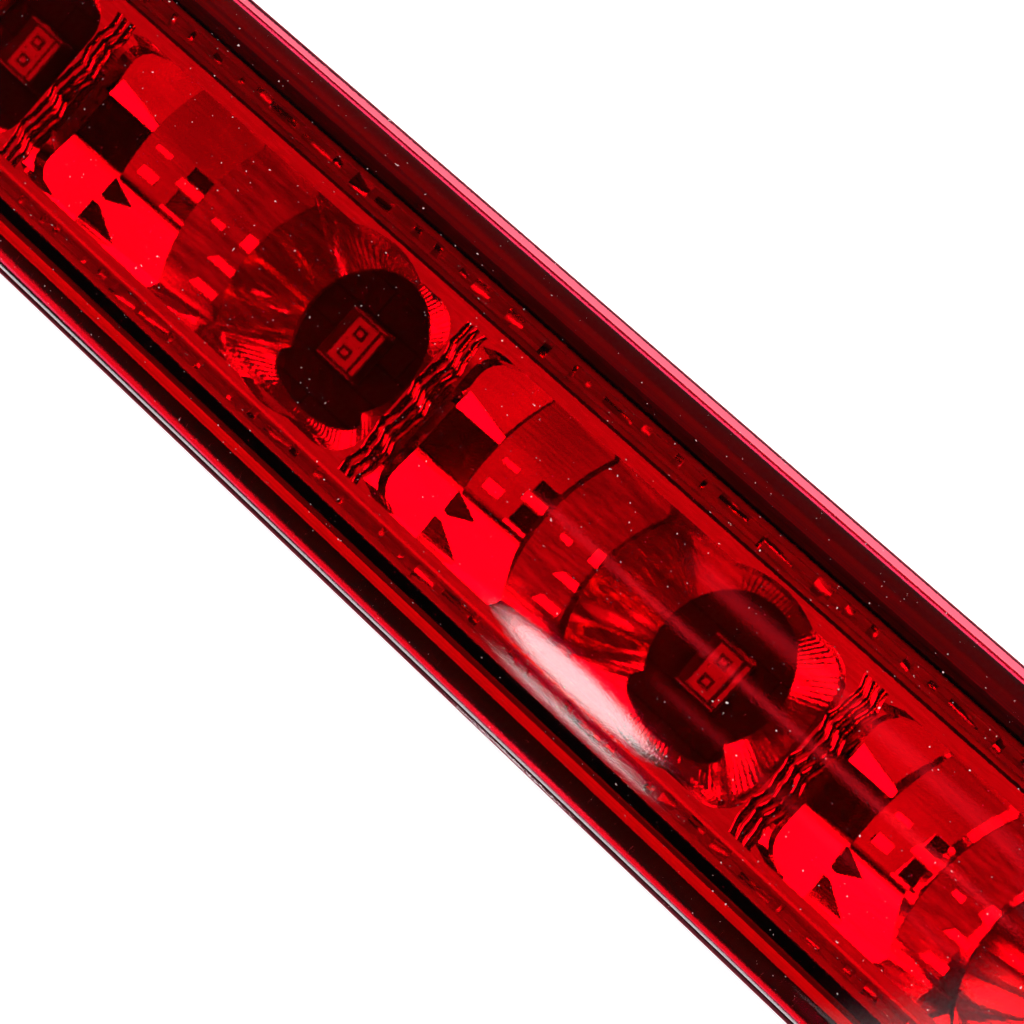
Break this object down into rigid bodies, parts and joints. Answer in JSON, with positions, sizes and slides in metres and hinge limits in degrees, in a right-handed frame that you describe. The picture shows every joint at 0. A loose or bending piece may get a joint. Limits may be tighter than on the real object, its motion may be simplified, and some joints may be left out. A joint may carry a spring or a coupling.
{
  "type": "third brake light",
  "caption": "Long slim LED third brake light: crowned red lens over a stepped metallised reflector in a black case with a screw tab at each end.",
  "frame": {"origin": "middle of the back face, which lies flat on the car body", "axes": "+X along the lamp, +Y across it, +Z out of the lens"},
  "size_m": [0.353, 0.024, 0.0245],
  "materials": {
    "red_lens": "clear red moulded plastic, glossy",
    "metallised": "vacuum-metallised moulding",
    "black_plastic": "fine-grained moulded plastic",
    "sealing_bead": "cured sealing bead",
    "foam": "closed-cell foam",
    "board": "solder mask on glass-fibre board",
    "socket_plastic": "moulded socket",
    "contact": "tinned",
    "rubber_ring": "smooth seal",
    "moulded_block": "moulded electronic part",
    "capacitor_can": "drawn can",
    "vent_plastic": "moulded cap",
    "steel": "zinc plated",
    "led_package": "white package",
    "resistor_body": "ceramic chip"
  },
  "bodies": {
    "root": {"lens_cover": "red_lens", "reflector": "metallised", "housing": "black_plastic", "lens_seal": "sealing_bead", "back_gasket": "foam", "circuit_board": "board", "connector_shell": "socket_plastic", "connector_pin_1": "contact", "connector_pin_2": "contact", "connector_seal": "rubber_ring", "polarity_diode": "moulded_block", "surge_suppressor": "moulded_block", "filter_capacitor": "capacitor_can", "vent_plug": "vent_plastic", "mounting_bush_left": "steel", "mounting_bush_right": "steel", "board_screw_1": "steel", "board_screw_2": "steel", "board_screw_3": "steel", "board_screw_4": "steel", "reflector_screw_1": "steel", "reflector_screw_2": "steel", "led_01": "led_package", "resistor_01": "resistor_body", "led_02": "led_package", "resistor_02": "resistor_body", "led_03": "led_package", "resistor_03": "resistor_body", "led_04": "led_package", "resistor_04": "resistor_body", "led_05": "led_package", "resistor_05": "resistor_body", "led_06": "led_package", "resistor_06": "resistor_body", "led_07": "led_package", "resistor_07": "resistor_body", "led_08": "led_package", "resistor_08": "resistor_body", "led_09": "led_package", "resistor_09": "resistor_body", "led_10": "led_package", "resistor_10": "resistor_body"}
  },
  "joints": []
}
